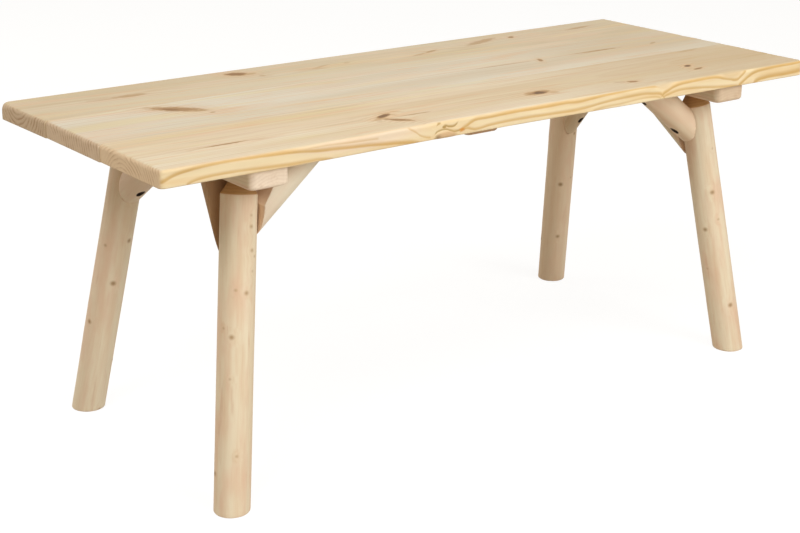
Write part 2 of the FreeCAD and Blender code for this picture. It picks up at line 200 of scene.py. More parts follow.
# Pale rose of a sawn flat: partly its cut wood, and brightened further as painted light where the flat lies
# in shade
SAWN_AND_PAINTED_LIGHT_ROSE = paint(255, 230, 210)
LOG_BLUSH = paint(252, 220, 190)
CLEAT_PINK = paint(246, 224, 202)
CLEAT_TAN = paint(224, 197, 168)
STEEL_DARK = paint(58, 56, 54)
STEEL_WORN = paint(104, 98, 88)


def sum_of(operation, swapped=False):
    """A method that adds a Math node for the sum of a tone and another value."""
    def method(self, other=0.0):
        first, second = (other, self) if swapped else (self, other)
        return self.finish.add("ShaderNodeMath", {"operation": operation}, {0: first, 1: second})
    return method


class Tone:
    """A node's value that can stand in a sum."""

    def __init__(self, finish, socket):
        self.finish = finish
        self.socket = socket

    __add__ = sum_of("ADD")
    __radd__ = sum_of("ADD", swapped=True)
    __sub__ = sum_of("SUBTRACT")
    __rsub__ = sum_of("SUBTRACT", swapped=True)
    __mul__ = sum_of("MULTIPLY")
    __rmul__ = sum_of("MULTIPLY", swapped=True)
    __truediv__ = sum_of("DIVIDE")
    __mod__ = sum_of("FLOORED_MODULO")
    __abs__ = sum_of("ABSOLUTE")
    root = sum_of("SQRT")
    most = sum_of("MAXIMUM")
    least = sum_of("MINIMUM")


class Nodes:
    """A tree of nodes, with one way of adding to it."""

    def __init__(self, tree):
        self.tree = tree

    def add(self, kind, settings=None, sockets=None, output=0):
        """Adds a node of a kind, sets it up, feeds its sockets, and gives one output."""
        node = self.tree.nodes.new(kind)
        for name, value in (settings or {}).items():
            if name == "points":
                line = node.mapping.curves[0].points
                for spot in value[1:-1]:
                    line.new(*spot)
                line[0].location = value[0]
                line[-1].location = value[-1]
                node.mapping.update()
            elif name == "stops":
                ramp = node.color_ramp.elements
                while len(ramp) < len(value):
                    ramp.new(1.0)
                for element, (position, colour) in zip(ramp, value):
                    element.position = position
                    element.color = colour
            else:
                setattr(node, name, value)
        for key, value in (sockets or {}).items():
            self.feed(node.inputs[key], value)
        return Tone(self, node.outputs[output])

    def feed(self, socket, value):
        if isinstance(value, Tone):
            self.tree.links.new(value.socket, socket)
        else:
            socket.default_value = value


class Finish(Nodes):
    """One procedural material: its nodes, and the shader that they feed."""

    def __init__(self, name, home=None, **constants):
        self.material = bpy.data.materials.new(name)
        self.material.use_nodes = True
        super().__init__(self.material.node_tree)
        self.shader = self.tree.nodes["Principled BSDF"]
        for socket, value in constants.items():
            self.shader.inputs[socket.replace("_", " ").title().replace("Ior", "IOR")].default_value = value
        self.place = self.add("ShaderNodeTexCoord", output="Object")
        facing = self.add("ShaderNodeTexCoord", output="Normal")
        if home is not None:
            turn = {"Rotation": home.to_euler()}
            self.place = self.local(self.place, {"Location": home.translation, **turn})
            facing = self.local(facing, turn)
        self.facing = self.split(facing)

    def split(self, vector):
        node = self.add("ShaderNodeSeparateXYZ", None, {0: vector}).socket.node
        return [Tone(self, socket) for socket in node.outputs]

    def join(self, x, y, z):
        return self.add("ShaderNodeCombineXYZ", None, {0: x, 1: y, 2: z})

    def stretch(self, vector, amounts, shift=(0, 0, 0)):
        sockets = {0: vector, 1: amounts, 2: shift}
        return self.add("ShaderNodeVectorMath", {"operation": "MULTIPLY_ADD"}, sockets)

    def vector_math(self, operation, first, second=(0, 0, 0), output=0):
        """A sum of two vectors: a vector at output 0, a value at output 1."""
        return self.add("ShaderNodeVectorMath", {"operation": operation}, {0: first, 1: second}, output)

    def cloud(self, vector, detail=3.0, roughness=0.5):
        """Soft noise between 0 and 1."""
        sockets = {"Vector": vector, "Scale": 1.0, "Detail": detail, "Roughness": roughness}
        return self.add("ShaderNodeTexNoise", None, sockets)

    def band(self, value, start, end, low=0.0, high=1.0):
        """Rises smoothly from low to high as the value goes from start to end."""
        sockets = {"Value": value, "From Min": start, "From Max": end, "To Min": low, "To Max": high}
        return self.add("ShaderNodeMapRange", {"interpolation_type": "SMOOTHSTEP"}, sockets)

    def blend(self, share, first, second):
        """The first colour turning into the second as the share goes from 0 to 1."""
        return self.add("ShaderNodeMix", {"data_type": "RGBA"}, {0: share, 6: first, 7: second}, 2)

    def ramp(self, value, stops):
        return self.add("ShaderNodeValToRGB", {"stops": stops}, {0: value})

    def local(self, vector, sockets):
        """The vector as seen from a place of its own."""
        return self.add("ShaderNodeMapping", {"vector_type": "TEXTURE"}, {"Vector": vector, **sockets})

    def oval(self, vector, centre, halves, turn=0):
        """Distance from a flat oval's centre, 1 on its rim, whatever the height."""
        local = self.local(vector, {
            "Location": centre, "Rotation": (0, 0, math.radians(turn)),
            "Scale": (halves[0], halves[1], 1000.0)})
        return self.vector_math("LENGTH", local, output=1)

    def dress(self, colour, roughness, height, depth):
        """Feeds the shader its colour, its roughness and the fine relief."""
        bump = self.add("ShaderNodeBump", None, {"Height": height, "Distance": depth, "Strength": 0.6})
        self.feed(self.shader.inputs["Base Color"], colour)
        self.feed(self.shader.inputs["Roughness"], roughness)
        self.feed(self.shader.inputs["Normal"], bump)
        return self.material


# Knots and marks on the top: place along and across, half sizes, turn in degrees, strength
FAR_MARKS = (
    (-0.344, 0.290, 0.033, 0.0193, -27, 0.74),
    (-0.310, 0.276, 0.014, 0.0126, 24, 0.32),
    (-0.300, 0.242, 0.011, 0.0100, -5, 0.30),
    (-0.662, 0.231, 0.056, 0.0155, -1, 0.42),
    (-0.715, 0.234, 0.070, 0.0180, -1, 0.24),
    (-0.126, 0.249, 0.042, 0.0060, 18, 0.30),
    (-0.139, 0.230, 0.028, 0.0050, -13, 0.26),
    (-0.049, 0.249, 0.012, 0.0080, 20, 0.26),
    (0.163, 0.228, 0.029, 0.0057, 15, 0.34),
    (0.214, 0.244, 0.029, 0.0068, 22, 0.46),
    (0.405, 0.271, 0.076, 0.0165, 18, 0.42),
    (0.513, 0.273, 0.014, 0.0085, 29, 0.62),
    (0.759, 0.272, 0.055, 0.0095, 8, 0.40),
)
MIDDLE_MARKS = (
    (-0.640, 0.056, 0.074, 0.0235, -42, 0.58),
    (-0.652, 0.060, 0.030, 0.0095, -42, 0.76),
    (-0.590, -0.012, 0.010, 0.0060, 25, 0.40),
    (0.371, -0.001, 0.018, 0.0080, 62, 0.60),
    (0.250, 0.008, 0.115, 0.0050, -1, 0.34),
    (0.575, 0.006, 0.090, 0.0062, -1, 0.50),
    (0.772, -0.002, 0.021, 0.0065, 26, 0.38),
)
NEAR_MARKS = (
    (-0.309, -0.252, 0.028, 0.0100, 25, 0.90),
    (-0.304, -0.298, 0.037, 0.0110, -43, 0.62),
    (-0.241, -0.277, 0.046, 0.0044, -2, 0.46),
    (-0.340, -0.275, 0.024, 0.0111, 64, 0.26),
    (-0.420, -0.258, 0.090, 0.0060, 0, 0.20),
    (-0.360, -0.134, 0.120, 0.0055, 0, 0.20),
    (0.120, -0.276, 0.024, 0.0140, 5, 0.97),
    (0.115, -0.273, 0.043, 0.0160, 7, 0.54),
    (0.150, -0.292, 0.020, 0.0131, 31, 0.26),
    (0.382, -0.315, 0.017, 0.0100, -14, 0.60),
    (0.351, -0.300, 0.022, 0.0053, -27, 0.32),
    (0.626, -0.263, 0.015, 0.0085, 28, 0.92),
    (0.624, -0.300, 0.022, 0.0065, 12, 0.68),
    (0.771, -0.127, 0.046, 0.0093, 7, 0.28),
    (-0.711, -0.262, 0.057, 0.0050, 0, 0.56),
)

# Growth lines along the natural edge: thickness in metres, strength, then points along the line, each
# with its place from the plank's middle and its height in millimetres
EDGE_LINES = (
    (0.0056, 0.85, (
        (-920, 733), (-901, 741), (-881, 747), (-862, 750), (-835, 752.5), (-797, 754), (-755, 754.7),
        (-712, 754), (-674, 753.3), (-635, 751.7), (-593, 747.5), (-555, 743.7), (-516, 741.7),
        (-478, 739), (-439, 736.7), (-401, 733.3), (-362, 730), (-324, 725.8), (-296, 717))),
    (0.0042, 0.70, (
        (-868, 717), (-847, 728.3), (-820, 731.7), (-785, 732.5), (-728, 731.3), (-674, 729.2),
        (-628, 727.5), (-585, 726.7), (-555, 726), (-520, 717))),
    (0.0034, 0.45, ((-630, 753), (-600, 752), (-558, 752.5), (-493, 750), (-440, 748), (-405, 746))),
    (0.0036, 0.55, ((-334, 758), (-322, 752), (-311, 746), (-298, 736), (-283, 731), (-266, 728))),
    (0.0056, 0.85, (
        (-192, 717), (-183, 735), (-168, 741.7), (-156, 747.5), (-141, 750.3), (-110, 750), (-41, 752.5),
        (36, 751.7), (113, 752.5), (152, 750.5), (190, 752.5), (240, 755.8), (300, 757), (358, 757.5),
        (396, 756), (422, 753), (438, 758))),
    (0.0046, 0.75, (
        (-192, 722), (-179, 735), (-156, 730.8), (-145, 729), (-110, 732), (-79, 733.3), (17, 734),
        (75, 733), (132, 732.5), (182, 734), (228, 738), (267, 741), (310, 742.5), (338, 743),
        (365, 742.5), (388, 740), (411, 737), (425, 728), (434, 717))),
    (0.0038, 0.50, (
        (192, 717), (209, 725), (300, 729), (338, 732), (369, 733), (396, 731.7), (411, 728), (421, 717))),
    (0.0056, 0.85, (
        (414, 717), (425, 735), (442, 741.7), (461, 748), (485, 751.7), (515, 752.8), (546, 753.8),
        (585, 754), (604, 752.5), (627, 747.5), (654, 741.7), (675, 738), (688, 743), (702, 752),
        (714, 760))),
    (0.0044, 0.70, (
        (419, 717), (427, 728), (446, 733), (473, 737), (515, 736.7), (561, 733), (600, 729), (638, 726),
        (677, 722.5), (692, 717))),
    (0.0062, 0.90, (
        (682, 717), (688, 724), (704, 733), (719, 741), (735, 747.5), (750, 750.8), (773, 753), (811, 755),
        (850, 755), (920, 756))),
    (0.0080, 0.90, (
        (738, 717), (750, 727), (785, 731.7), (815, 732.5), (858, 732.5), (900, 734), (920, 735))),
)
# Strokes of ingrown bark round the scar, given in the same way
BARK_STROKES = (
    (0.0030, 0.85, ((-257, 744), (-255, 750.5), (-251, 753.8), (-243, 755.8), (-239, 756))),
    (0.0034, 0.90, ((-238, 746), (-233, 748.5), (-220, 745.5), (-206, 745.1), (-198, 749.4), (-193, 754))),
    (0.0030, 0.80, (
        (-262, 728), (-255, 736.4), (-245, 739.7), (-229, 740.6), (-218, 737.3), (-204, 733.4), (-192, 733.6),
        (-184, 735.6))),
)
# Hollows in the natural edge: centre along and up, half sizes, and how much fuller its rounding is
EDGE_HOLLOWS = (
    ((0.432, 0.764, 0.0), (0.034, 0.021), 0.013),
    ((0.666, 0.763, 0.0), (0.046, 0.021), 0.010),
)
# Where the natural edge blushes: centre along and up, and half sizes
EDGE_BLUSH = ((-0.44, 0.752, 0.0), (0.17, 0.024))
# The healed scar's patch, its dark end, a pit of bark and a spot of resin, placed in the same way
SCAR_PATCH = ((-0.225, 0.726, 0.0), (0.035, 0.0120))
SCAR_DARK_END = (-0.258, -0.232)
BARK_PIT = ((-0.229, 0.7465, 0.0), (0.006, 0.0040))
RESIN_SPOT = ((-0.180, 0.734, 0.0), (0.008, 0.0045))
# How far a hollow's rounding runs beyond its colour
HOLLOW_SPREAD = 1.3
# Growth lines: zero along the edge, lowest height, span, fade, waver, and the edge's end in millimetres
NEAR_MIDDLE = 0.004
LINE_FLOOR = 0.715
LINE_SPAN = 0.050
LINE_FADE = 0.008
LINE_WAVER = 0.004
LINE_END = 920

# Each plank's pith across and up, ring spacing and marks, and where it ripens to tan: from, to, how much
PLANK_WOOD = {
    "far": ((0.237, 0.790), 0.0105, FAR_MARKS, (-0.85, 0.0, 0.15, 0.0)),
    "middle": ((0.150, 0.700), 0.0105, MIDDLE_MARKS, (0.1, 0.8, 0.0, 0.25)),
    "near": ((-0.215, 0.688), 0.0085, NEAR_MARKS, (-0.35, 0.75, 0.0, 0.55)),
}
# Each cleat's pith along the table and up, its seed, and the tone of its ends; the batten's dark tan ends are
# partly end grain and partly painted shade
CLEAT_WOOD = {
    "left_cleat": ((-0.66, 0.62), 1.0, CLEAT_PINK),
    "right_cleat": ((0.69, 0.60), 4.0, CLEAT_TAN),
    "middle_batten": ((-0.02, 0.80), 8.0, SAWN_TAN),
}
SCREW_NODES = ("brace_leg_screws", "brace_upper_screws", "board_screws")

# Pine's rings, grain and fine relief, in metres
PITH_WANDER = (0.10, 0.08)
RING_WAVER = 0.014
RING_SWELL = 0.011
GRAIN_SWELL = 0.012
CLEAT_RINGS = 0.007
PINE_RELIEF = 0.0006
# The same for logs and steel
LOG_RINGS = 0.0042
LOG_RING_WAVER = 0.004
LOG_GRAIN_BEND = 0.006
LOG_RELIEF = 0.0008
STEEL_RELIEF = 0.0002

# Pin knots that show in the photo: distance up the log in metres, turn round it in degrees, radius
PIN_KNOTS = {
    "near_left_leg": (
        (0.622, -79, 0.004), (0.599, -78, 0.0055), (0.550, -73, 0.0055), (0.537, -59, 0.0045),
        (0.507, -69, 0.004), (0.463, -91, 0.006), (0.469, -125, 0.0045), (0.372, -134, 0.0065),
        (0.389, -162, 0.004), (0.285, -137, 0.004), (0.124, -111, 0.0045)),
    "far_left_leg": (
        (0.343, -105, 0.0075), (0.449, -69, 0.007), (0.233, -169, 0.007), (0.432, -153, 0.005),
        (0.009, -78, 0.006), (0.136, -45, 0.005), (0.548, -85, 0.005)),
    "far_right_leg": (
        (0.333, -126, 0.0075), (0.162, -120, 0.0065), (0.349, -78, 0.004), (0.489, -77, 0.006)),
    "near_right_leg": (
        (0.436, -114, 0.007), (0.340, -160, 0.007), (0.362, -104, 0.0045), (0.126, -102, 0.0075),
        (0.233, -174, 0.004), (0.548, -87, 0.004)),
}
# Logs that differ from the rest, by how much and towards which colour; the browns on the near left and far
# right cross braces are painted shade
LOG_TINTS_AND_SHADES = {
    "far_right_leg": (0.40, LOG_BLUSH),
    "far_left_leg": (0.15, PEELED_WHITE),
    "near_left_cross_brace": (0.90, PAINTED_SHADE_BROWN),
    "far_right_cross_brace": (0.30, SHOULDER_AND_SHADE_BROWN),
    "far_left_cross_brace": (0.25, PEELED_WHITE),
    "near_left_long_brace": (0.45, PEELED_WHITE),
    "near_right_long_brace": (0.45, LOG_BLUSH),
}
# A pin knot of this radius shows in full, a smaller one less, and it is wider than tall
FULL_KNOT = 0.0075
KNOT_FLATNESS = 1.1
# Pin knots on hidden sides: room at a log's ends, radii, then how many and within which turns
HIDDEN_KNOT_ENDS = (0.06, 0.08)
HIDDEN_KNOT_SIZES = (0.0035, 0.007)
LEG_HIDDEN_KNOTS = (8, (0, 170))
BRACE_HIDDEN_KNOTS = (2, (0, 120))
BRACE_KNOT_REACH = 0.24


def ring_tone(pine, along, across, height, pith, spacing, swell=0.0):
    """Late wood of the growth rings round a pith that wanders along the plank, 0 to 1."""
    drift = pine.cloud(pine.join(along * 0.9, pith[0], pith[1]), 1.0)
    drop = pine.cloud(pine.join(along * 0.7, pith[1] + 3, pith[0]), 1.0)
    aside = across - pith[0] + (drift - 0.5) * PITH_WANDER[0]
    above = height - pith[1] + (drop - 0.5) * PITH_WANDER[1]
    radius = (aside * aside + above * above).root()
    waver = pine.cloud(pine.join(along * 2.2, across * 18, height * 18), 2.0)
    count = (radius + (waver - 0.5) * RING_WAVER + swell) / spacing % 1.0
    return pine.band(count, 0.30, 0.88) * pine.band(count, 0.88, 1.0, 1.0, 0.0)


def mark_tones(pine, marks):
    """How strongly the knots and marks show, and how far the grain swells round them."""
    waver = (pine.cloud(pine.stretch(pine.place, (60, 120, 40)), 2.0) - 0.5) * 0.8
    cores, halos = [], []
    for x, y, half_length, half_width, turn, strength in marks:
        reach = pine.oval(pine.place, (x, y, 0), (half_length, half_width), turn) + waver
        cores.append(pine.band(reach, 0.45, 1.30, strength, 0.0))
        halos.append(pine.band(reach, 0.8, 3.4, strength, 0.0))
    return reduce(Tone.most, cores), reduce(Tone.most, halos)


def plank_finish(plank, pith, spacing, marks, ripening):
    """Clear-finished pine plank, grain along the table: streaks, rings, knots and end grain."""
    pale, deep, end_early, end_late = PLANK_TONES[plank]
    pine = Finish(f"{plank}_plank_pine", specular_ior_level=0.12, coat_weight=0.02, coat_roughness=0.4)
    along, across, height = pine.split(pine.place)
    shown, around = mark_tones(pine, marks)
    rings = ring_tone(pine, along, across, height, pith, spacing, around * RING_SWELL)
    grain = pine.join(along, across + around * GRAIN_SWELL, height)
    seed = pith[0] * 40
    broad = pine.cloud(pine.stretch(grain, (0.8, 8, 8), (0, seed, 2)), 2.0)
    straw = pine.cloud(pine.stretch(grain, (1.8, 24, 24), (seed, 0, 7)), 4.0, 0.65)
    rose = pine.cloud(pine.stretch(grain, (2.6, 17, 17), (3, seed, 9)), 3.0, 0.6)
    blush = pine.cloud(pine.stretch(grain, (4.0, 52, 52), (5, 1, seed)), 4.0, 0.65)
    thread = pine.cloud(pine.stretch(grain, (2.2, 170, 170), (seed, 3, 0)), 3.0, 0.6)
    fibre = pine.cloud(pine.stretch(pine.place, (14, 700, 700)), 4.0, 0.65)

    colour = pine.blend(pine.band(broad, 0.34, 0.68), pale, deep)
    colour = pine.blend(pine.band(rose, 0.46, 0.66) * 0.55, colour, ROSE)
    colour = pine.blend(pine.band(straw, 0.50, 0.72) * 0.45, colour, STRAW)
    colour = pine.blend(pine.band(blush, 0.50, 0.72) * 0.75, colour, APRICOT)
    colour = pine.blend(pine.band(along, *ripening), colour, RIPE_TAN)
    colour = pine.blend(pine.band(thread, 0.54, 0.74) * 0.34, colour, HEART)
    colour = pine.blend(pine.band(around, 0.15, 0.85) * 0.45, colour, APRICOT)
    colour = pine.blend(rings * (0.15 + around * 0.45), colour, HEART)
    colour = pine.blend(pine.band(fibre, 0.55, 0.8) * 0.10, colour, HEART)

    end = pine.band(abs(pine.facing[0]), 0.35, 0.82)
    pores = pine.cloud(pine.stretch(pine.place, (90, 420, 420)), 3.0)
    mottle = pine.cloud(pine.stretch(pine.place, (8, 26, 40), (seed, 2, 0)), 3.0)
    late = rings * pine.band(mottle, 0.36, 0.66, 0.08, 0.80) + pine.band(pores, 0.45, 0.75) * 0.20
    colour = pine.blend(end, colour, pine.blend(late.least(1.0), end_early, end_late))

    knots = pine.ramp(shown, [
        (0.0, KNOT_TAN), (0.45, KNOT_TAN), (0.72, KNOT_BROWN), (0.98, KNOT_DARK)])
    colour = pine.blend(pine.band(shown, 0.02, 0.60) * 0.92, colour, knots)
    if plank == "near":
        colour = edge_tones(pine, colour, along, height)
    rough = 0.48 + pine.band(fibre, 0.3, 0.8) * 0.10 + end * 0.18
    relief = fibre * 0.25 + rings * 0.35 - pine.band(shown, 0.5, 0.95) * 0.8
    return pine.dress(colour, rough, relief, PINE_RELIEF)


def growth_line(pine, along, height, thick, line):
    """A line of late wood along the natural edge, soft above and crisper below, fading at its ends."""
    start, end = (NEAR_MIDDLE + line[k][0] / 1000 for k in (0, -1))
    points = [((NEAR_MIDDLE + x / 1000 - start) / (end - start), (z / 1000 - LINE_FLOOR) / LINE_SPAN)
              for x, z in line]
    share = (along - start) / (end - start)
    level = pine.add("ShaderNodeFloatCurve", {"points": points}, {1: share}) * LINE_SPAN + LINE_FLOOR
    gap = height - level
    across = pine.band(gap, 0.0, thick * 1.7, 1.0, 0.0) * pine.band(gap, -thick * 0.8, 0.0)
    inside = (along - start).least(end - along)
    if line[0][0] <= -LINE_END or line[-1][0] >= LINE_END:
        inside = inside + LINE_FADE
    return across * pine.band(inside, 0.0, LINE_FADE)


def edge_lines(pine, along, height, lines):
    """How strongly a set of lines shows on the natural edge."""
    return reduce(Tone.most, [
        growth_line(pine, along, height, thick, line) * strength for thick, strength, line in lines])


def edge_tones(pine, colour, along, height):
    """The natural edge: pale sapwood with golden growth lines, and the healed scar near its middle."""
    flat = pine.join(along, height, 0.0)
    front = pine.band(pine.facing[1], -0.40, -0.92)
    colour = pine.blend(front * 0.4, colour, RESIN)
    for centre, half_sizes, _ in EDGE_HOLLOWS:
        front = front * pine.band(pine.oval(flat, centre, half_sizes), 0.6, 1.1)
    soft = pine.cloud(pine.stretch(pine.place, (6, 30, 60)), 3.0)
    wavy = height + (soft - 0.5) * LINE_WAVER
    sap = pine.blend(pine.band(soft, 0.38, 0.70) * 0.6, SAPWOOD, RESIN)
    sap = pine.blend(pine.band(pine.oval(flat, *EDGE_BLUSH), 0.5, 1.2, 0.5, 0.0), sap, SAP_BLUSH)
    sap = pine.blend(edge_lines(pine, along, wavy, EDGE_LINES) * 0.9, sap, GOLD)
    scar = pine.oval(flat, *SCAR_PATCH) + (soft - 0.5) * 0.9
    healed = pine.blend(pine.band(along, *SCAR_DARK_END), KNOT_DARK, SCAR_TAN)
    sap = pine.blend(pine.band(scar, 0.70, 1.10, 0.85, 0.0), sap, healed)
    bark = edge_lines(pine, along, wavy, BARK_STROKES)
    pit = pine.band(pine.oval(flat, *BARK_PIT), 0.5, 1.3, 0.9, 0.0)
    sap = pine.blend(bark.most(pit) * 0.9, sap, OLIVE)
    sap = pine.blend(pine.band(pine.oval(flat, *RESIN_SPOT), 0.4, 1.4, 0.8, 0.0), sap, AMBER)
    return pine.blend(front, colour, sap)


def cleat_finish(name, pith, seed, end_tone):
    """Sawn pine cleat, grain across the table."""
    pine = Finish(name, specular_ior_level=0.3)
    across, along, height = pine.split(pine.place)
    turned = pine.join(along, across, height)
    rings = ring_tone(pine, along, across, height, pith, CLEAT_RINGS)
    streak = pine.cloud(pine.stretch(turned, (2, 45, 45), (seed, 0, 0)), 3.0, 0.6)
    fibre = pine.cloud(pine.stretch(turned, (16, 600, 600)), 4.0, 0.65)
    colour = pine.blend(pine.band(streak, 0.35, 0.7), LOG_CREAM, LOG_ROSE)
    colour = pine.blend(rings * 0.20, colour, HEART)
    end = pine.band(abs(pine.facing[1]), 0.25, 0.75)
    cut = pine.blend(rings * 0.14 + pine.band(streak, 0.5, 0.75) * 0.25, end_tone, SAWN_TAN)
    colour = pine.blend(end, colour, cut)
    return pine.dress(colour, 0.55 + fibre * 0.15, fibre * 0.5 + rings * 0.3, PINE_RELIEF)


def hidden_knots(seed, length, count, span):
    """Pin knots on the sides that the photo doesn't show, within a span of turns."""
    draw = random.Random(seed)
    low, high = HIDDEN_KNOT_ENDS
    return [
        (draw.uniform(low, length - high), draw.uniform(*span), draw.uniform(*HIDDEN_KNOT_SIZES))
        for _ in range(count)]


def pin_knot_tones(log, knots, radius):
    """Distance to the nearest pin knot in knot radii, and how strongly the knots show."""
    flat = log.stretch(log.place, (1, 1, KNOT_FLATNESS))
    gaps, spots = [], []
    for place, turn, size in knots:
        centre = (*spoke(radius, math.radians(turn)), place * KNOT_FLATNESS)
        gap = log.vector_math("DISTANCE", flat, centre, 1) / size
        gaps.append(gap)
        spots.append(log.band(gap, 0.0, 1.7, min(1.0, size / FULL_KNOT), 0.0))
    return reduce(Tone.least, gaps), reduce(Tone.most, spots)


def tooled_tones(log, colour, flats, drills):
    """The colour with sawn flats brightened as painted light and recesses darkened as painted shade, each a
    point and a way.
    """
    for spot, way in flats:
        gap = log.vector_math("DOT_PRODUCT", log.vector_math("SUBTRACT", log.place, spot), way, 1)
        # Painted light: the sawn flat turns near-white rose, brighter than its own wood
        colour = log.blend(log.band(abs(gap), 0.0003, 0.0010, 0.9, 0.0), colour, SAWN_AND_PAINTED_LIGHT_ROSE)
    for spot, way in drills:
        aside = log.vector_math("CROSS_PRODUCT", log.vector_math("SUBTRACT", log.place, spot), way)
        reach = log.vector_math("LENGTH", aside, output=1)
        # Painted shade: the recess and a thin rim round it turn near-black brown
        recess_shade = log.band(reach, RECESS_RADIUS + 0.0002, RECESS_RADIUS + 0.0014, 0.95, 0.0)
        colour = log.blend(recess_shade, colour, PAINTED_RECESS_SHADE)
    return colour


def log_finish(name, home, knots, radius, seed, shoulder=TOP_HEIGHT, flats=(), drills=()):
    """Peeled pine log: long fibres, soft streaks, pin knots, inner bark, and rings where it is cut. Its
    shoulder's brown is partly painted shade, the cross braces' brown tints are painted shade, sawn flats are
    brightened as painted light, and recesses are darkened as painted shade.
    """
    log = Finish(f"{name}_log", home, specular_ior_level=0.25)
    x, y, up = log.split(log.place)
    near, shown = pin_knot_tones(log, knots, radius)
    fibre = log.cloud(log.stretch(log.place, (420, 420, 9), (0, 0, seed)), 4.0, 0.65)
    bend = log.band(near, 0.8, 5.0, LOG_GRAIN_BEND, 0.0)
    drift = log.join(x + bend, y + bend, up)
    streak = log.cloud(log.stretch(drift, (60, 60, 3.2), (seed, 0, 0)), 4.0, 0.65)
    patch = log.cloud(log.stretch(log.place, (20, 20, 6), (0, seed, 3)), 3.0, 0.55)
    bark = log.cloud(log.stretch(log.place, (60, 60, 8), (seed, 9, 0)), 3.0, 0.6)

    colour = log.blend(log.band(streak, 0.36, 0.74) * 0.62, LOG_CREAM, LOG_HONEY)
    colour = log.blend(log.band(patch, 0.42, 0.68) * 0.58, colour, LOG_ROSE)
    colour = log.blend(log.band(bark, 0.58, 0.78) * 0.30, colour, INNER_BARK)
    colour = log.blend(log.band(fibre, 0.52, 0.8) * 0.16, colour, HEART)
    # Some tints are a log's own tone; the cross braces' browns are painted shade
    if name in LOG_TINTS_AND_SHADES:
        share, tint = LOG_TINTS_AND_SHADES[name]
        colour = log.blend(share, colour, tint)

    waver = log.cloud(log.stretch(log.place, (30, 30, 8)), 2.0)
    count = ((x * x + y * y).root() + waver * LOG_RING_WAVER) / LOG_RINGS % 1.0
    rings = log.band(count, 0.3, 0.9) * log.band(count, 0.9, 1.0, 1.0, 0.0)
    sawn = log.band(abs(log.facing[2]), 0.22, 0.45)
    colour = log.blend(sawn, colour, log.blend(rings * 0.40, SAWN_CREAM, SAWN_TAN))
    # The shoulder above the rim takes a brown that is partly its sawn wood and partly painted shade
    tapered = log.band(up, shoulder, shoulder + 0.002)
    colour = log.blend(tapered, colour, log.blend(rings * 0.25, SHOULDER_AND_SHADE_BROWN, KNOT_BROWN))

    shown = shown * (1 - sawn)
    core = log.band(shown, 0.44, 0.88) * 0.48
    colour = log.blend(log.band(shown, 0.05, 0.55) * 0.36, colour, KNOT_TAN)
    colour = log.blend(core, colour, KNOT_BROWN)
    colour = log.blend(log.band(shown, 0.80, 1.0) * 0.22, colour, KNOT_DARK)
    colour = tooled_tones(log, colour, flats, drills)
    relief = fibre * 0.35 + streak * 0.4 + core * 0.5
    return log.dress(colour, 0.54 + fibre * 0.2, relief, LOG_RELIEF)


def steel_finish():
    """Dark plated screw steel, dulled by handling."""
    steel = Finish("screw_steel", metallic=1.0)
    wear = steel.cloud(steel.stretch(steel.place, (300, 300, 300)), 4.0)
    scratch = steel.cloud(steel.stretch(steel.place, (1500, 200, 900)), 2.0)
    colour = steel.blend(steel.band(wear, 0.35, 0.7), STEEL_DARK, STEEL_WORN)
    return steel.dress(colour, 0.32 + wear * 0.25, scratch, STEEL_RELIEF)


def stand(name, data):
    """Puts a mesh, a lamp or a camera in the scene."""
    shape = bpy.data.objects.new(name, data)
    bpy.context.collection.objects.link(shape)
    return shape


def piece(name, mesh, nodes):
    """Puts a mesh in the scene as a piece that replaces CAD nodes."""
    shape = stand(name, mesh)
    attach(shape, "root")
    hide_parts(*nodes)


def loft(name, rows):
    """A smooth closed skin over rows of points, each row a closed loop."""
    skin = bmesh.new()
    loops = [[skin.verts.new(spot) for spot in row] for row in rows]
    count = len(loops[0])
    for low, high in zip(loops, loops[1:]):
        for k in range(count):
            face = skin.faces.new((low[k], low[(k + 1) % count], high[(k + 1) % count], high[k]))
            face.smooth = True
    skin.faces.new(reversed(loops[0]))
    skin.faces.new(loops[-1])
    bmesh.ops.recalc_face_normals(skin, faces=skin.faces)
    mesh = bpy.data.meshes.new(name)
    skin.to_mesh(mesh)
    skin.free()
    return mesh


def eased(distance, radius):
    """How far a rounded edge has drawn in at a distance from the end."""
    if distance >= radius:
        return 0.0
    return radius - math.sqrt(radius ** 2 - (radius - distance) ** 2)


def stations(left, right, step):
    """Places along a plank, close together at its ends."""
    inner = END_STEPS[-1]
    count = round((right - left - 2 * inner) / step)
    middle = [left + inner + (right - left - 2 * inner) * k / count for k in range(1, count)]
    return [left + e for e in END_STEPS] + middle + [right - e for e in reversed(END_STEPS)]


def corner(y, z, across, up, radius, count):
    """Points round a plank's long edge, from its face across to its face up or down."""
    centre_y, centre_z = y + across * radius, z + up * radius
    angles = [math.radians(90 * k / (count - 1)) for k in range(count)]
    return [(centre_y - across * radius * math.sin(a), centre_z - up * radius * math.cos(a)) for a in angles]


def worn(y, seed):
    """The rounding of a plank's end at a place across it, uneven as hand-sanded edges are."""
    broad = noise.noise((y * 26, seed, 0.0))
    fine = noise.noise((y * 90, seed, 5.0))
    return END_ROUND * (1 + 0.40 * broad + 0.30 * fine)


def face_points(start, end, width, height):
    """Points across a plank's upper face, at the height that it has there."""
    count = round(width / FACE_STEP)
    places = [start + (end - start) * k / count for k in range(1, count)]
    return [(y, height(y)) for y in places]


